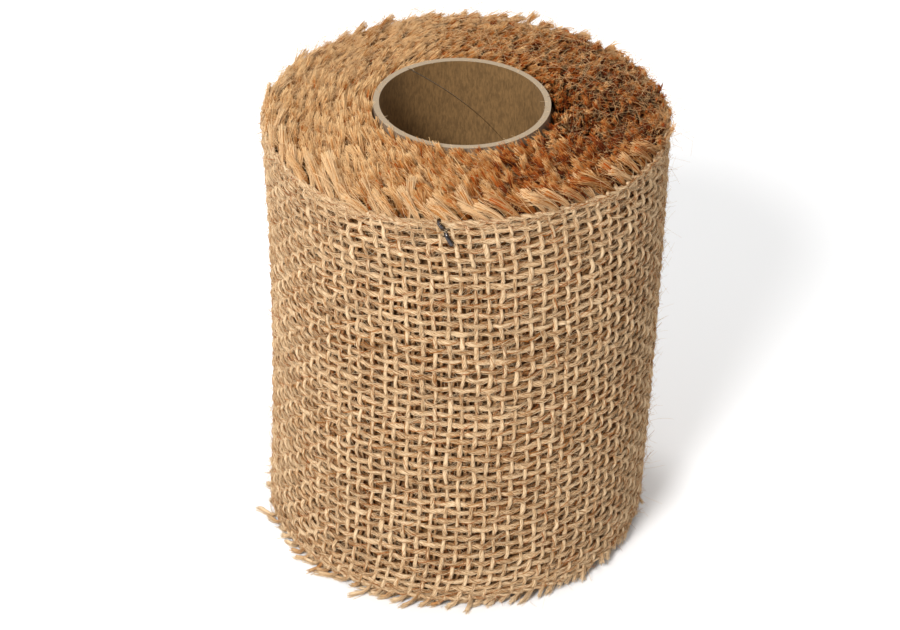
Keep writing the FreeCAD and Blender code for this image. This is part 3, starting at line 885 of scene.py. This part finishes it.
def top_hairs(count):
    """Finer hairs that stand and lie in the top fringe."""
    turns = np.interp(chance.uniform(0, 1, count), length_table / length_table[-1], turn_table)
    turns = turns[turns > 4]     # the turns next to the core have none
    count = len(turns)
    share = depth_share(winding_radius(turns))
    rise = np.interp(share, [0, 0.3, 1.0], [2.0, 3.0, 3.2]) * MM
    roots = on_roll(turns, UPPER_EDGE + rise * chance.uniform(0.6, 1.0, count), np.full(count, CLOTH_MIDDLE))
    flat = chance.uniform(0, TAU, count)
    directions = unit(np.stack([np.cos(flat), np.sin(flat), chance.uniform(0.0, 0.4, count)], -1))
    lines = hair_lines(roots, directions, hair_lengths(0.65 * MM, count), curl=1.0)
    tones = 0.02 + 0.3 * rust_share(roots) * chance.uniform(0, 1, count)
    # none hangs over the bore or stands high
    clear = np.linalg.norm(lines[..., :2], axis=-1).min(1) > CORE_RADIUS + 1 * MM
    clear &= lines[..., 2].max(1) < UPPER_EDGE + 5 * MM
    add_hairs("stray_hairs_top", OUTER_FIBRE, lines[clear], tones[clear], thick=0.028)


# ---------------------------------------------------------------- the wound cloth, core and staple


def wound_sheet():
    """The whole ribbon as one thin sheet, wound under the yarns that show, painted dark brown as painted shade."""
    steps = 60                   # round each turn
    turn_length, row_height = 180, 7.0     # about the sheet's mean size in millimetres, for its markings
    off_core, off_edge = 0.2 * MM, 0.3 * MM
    room = (winding_radius(np.array(TURNS - 2.0)) - FIRST_RADIUS - off_core) / (TURNS * TURN_PITCH)
    turns = np.linspace(0, TURNS, TURNS * steps + 1)
    rows = np.linspace(LOWER_EDGE + off_edge, UPPER_EDGE - off_edge, 13)
    radius = FIRST_RADIUS + off_core + TURN_PITCH * room * turns
    points = settled(turns[:, None], radius[:, None], rows[None])
    index = np.arange(points[..., 0].size).reshape(len(turns), len(rows))
    quads = np.stack([index[:-1, :-1], index[1:, :-1], index[1:, 1:], index[:-1, 1:]], -1).reshape(-1, 4)
    # the sheet's own map: one band across the picture for each turn
    column = np.arange(len(turns) - 1)[:, None, None] + np.array([0, 1, 1, 0])
    row = np.arange(len(rows) - 1)[None, :, None] + np.array([0, 0, 1, 1])
    column, row = np.broadcast_arrays(column, row)
    turn = np.arange(len(turns) - 1)[:, None, None] // steps
    strip = np.stack([column / steps - turn, (turn + row / (len(rows) - 1)) / TURNS], -1).reshape(-1, 2)
    in_mm = np.stack([column / steps * turn_length, row * row_height], -1).reshape(-1, 2)
    none = np.zeros((0, 3), int)
    # the sheet's jute is darkened to dark brown as painted shade
    piece = make_mesh("ribbon_wound", points.reshape(-1, 3), quads, none, {"yarn": in_mm, "OFBake": strip},
                      spun_jute("jute_cloth_painted_shade", shade=(0.42, 0.32, 0.22)))
    finish_piece(piece, ["ribbon_inner_turns", "ribbon_outer_turn"])


def dress_core():
    """The core's CAD plies keep their shape and get board, and the rim gets torn paper fibres."""
    # the inner ply is brown kraft, darkened further as painted shade inside the bore
    kraft = paperboard("kraft_inside_painted_shade", srgb(0.55, 0.42, 0.26))
    board = paperboard("grey_board", srgb(0.58, 0.50, 0.41))
    for node, material in (("core_inner_ply", kraft), ("core_middle_ply", board), ("core_outer_ply", board),
                           ("start_tape", tape_paper())):
        mesh = frame["nodes"][node].data
        mesh.materials.clear()
        mesh.materials.append(material)

    count = 260
    level = CORE_TOP - 0.02 * MM
    angle = chance.uniform(0, TAU, count)
    radius = chance.uniform(BORE_RADIUS, CORE_RADIUS, count)
    roots = np.stack([radius * np.cos(angle), radius * np.sin(angle), np.full(count, level)], -1)
    directions = unit(chance.normal(0, 1, (count, 3)) * np.array([1, 1, 0.2]) + np.array([0, 0, 0.1]))
    lengths = np.minimum(chance.gamma(2.0, 0.18 * MM, count), 0.9 * MM)
    lines = hair_lines(roots, directions, lengths, curl=0.4, rings=5)
    lines[..., 2] = np.maximum(lines[..., 2], level)
    half_width = np.linspace(0.045, 0.02, lines.shape[1]) * MM
    piece = fibre_piece("core_rim_fray", HAIR, lines, half_width[None], chance.uniform(0, 0.25, count))
    finish_piece(piece)


def bend_staple():
    """The staple's crown: it dips under the edge yarn and both of its ends go into the cloth."""
    below_top, wire = 1.2 * MM, 0.42 * MM
    low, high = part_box("closing_staple")
    along = np.linspace(-0.15, 1.15, 27)
    held = np.clip(along, 0, 1)
    angle = math.atan2(low.y, low.x) + held * (math.atan2(low.y, high.x) - math.atan2(low.y, low.x))
    turns = TURNS - 1 + np.mod((angle - HINGE_ANGLE) / TAU, 1)
    past = np.clip(np.abs(along - 0.5) - 0.5, 0, None)
    under = np.exp(-((along - 0.42) / 0.16) ** 2)
    height = high.z - below_top + held * (low.z - high.z + below_top)
    line = on_roll(turns, height, (1.45 - 1.1 * under - 9 * past) * MM)
    points, quads, tris, _, along, around = tubes(line[None], outward_at(turns)[None], wire, wire, sides=12)
    maps = {"OFBake": np.stack([along, around], -1)}
    piece = make_mesh("staple_wire", points, quads, tris, maps, staple_steel_painted_reflection())
    finish_piece(piece, ["closing_staple"])


# ---------------------------------------------------------------- camera, light and floor

# the photograph's own view, from a fit to the roll's outline
CAMERA_ELEVATION = math.radians(34.09)
CAMERA_DISTANCE = 0.6538
CAMERA_ROLL = math.radians(1.53)
CAMERA_LENS = 130.05
LOOK_AT = Vector((-1.21 * MM, 0, 43.44 * MM))


def make_camera():
    data = bpy.data.cameras.new("camera")
    data.lens = CAMERA_LENS
    data.sensor_width = 36
    data.clip_start = 0.05
    camera = bpy.data.objects.new("camera", data)
    back = Vector((0, -math.cos(CAMERA_ELEVATION), math.sin(CAMERA_ELEVATION)))
    right = Vector((1, 0, 0))
    up = back.cross(right)
    rolled_right = math.cos(CAMERA_ROLL) * right + math.sin(CAMERA_ROLL) * up
    rolled_up = -math.sin(CAMERA_ROLL) * right + math.cos(CAMERA_ROLL) * up
    turn = Matrix((rolled_right, rolled_up, back)).transposed()
    camera.matrix_world = Matrix.Translation(LOOK_AT + back * CAMERA_DISTANCE) @ turn.to_4x4()
    bpy.context.scene.collection.objects.link(camera)
    bpy.context.scene.camera = camera


def area_light(name, place, size, power):
    """A round white light that faces the roll."""
    data = bpy.data.lights.new(name, "AREA")
    data.shape = "DISK"
    data.size = size
    data.energy = power
    light = bpy.data.objects.new(name, data)
    light.location = place
    light.rotation_euler = (Vector((0, 0, 0.05)) - Vector(place)).to_track_quat("-Z", "Y").to_euler()
    bpy.context.scene.collection.objects.link(light)


def make_studio():
    scene = bpy.context.scene
    scene.view_settings.view_transform = "Standard"
    world = bpy.data.worlds.new("studio")
    scene.world = world
    world.use_nodes = True
    background = world.node_tree.nodes["Background"]
    background.inputs["Color"].default_value = WHITE
    background.inputs["Strength"].default_value = 0.42
    area_light("key", (-0.32, -0.66, 0.66), size=0.28, power=8.8)
    area_light("back", (-0.45, 0.55, 0.60), size=0.4, power=3.4)
    area_light("top", (0.10, 0.05, 0.9), size=0.4, power=2.0)

    floor_look = Surface("floor", roughness=0.9, specular=0.1)
    floor_look.set("Base Color", (0.96, 0.96, 0.96, 1))
    mesh = bpy.data.meshes.new("floor")
    reach = 3.0
    mesh.from_pydata([(-reach, -reach, 0), (reach, -reach, 0), (reach, reach, 0), (-reach, reach, 0)], [],
                     [(0, 1, 2, 3)])
    mesh.materials.append(floor_look.material)
    floor = bpy.data.objects.new("floor", mesh)
    floor.location.z = -TABLE_GAP
    scene.collection.objects.link(floor)


# ---------------------------------------------------------------- the whole roll

make_camera()
make_studio()
weave_cloth()
weave_below()
make_fringes()
side_hairs(count=2200)
gap_fuzz(count=7600)
top_hairs(count=4600)
wound_sheet()
dress_core()
bend_staple()
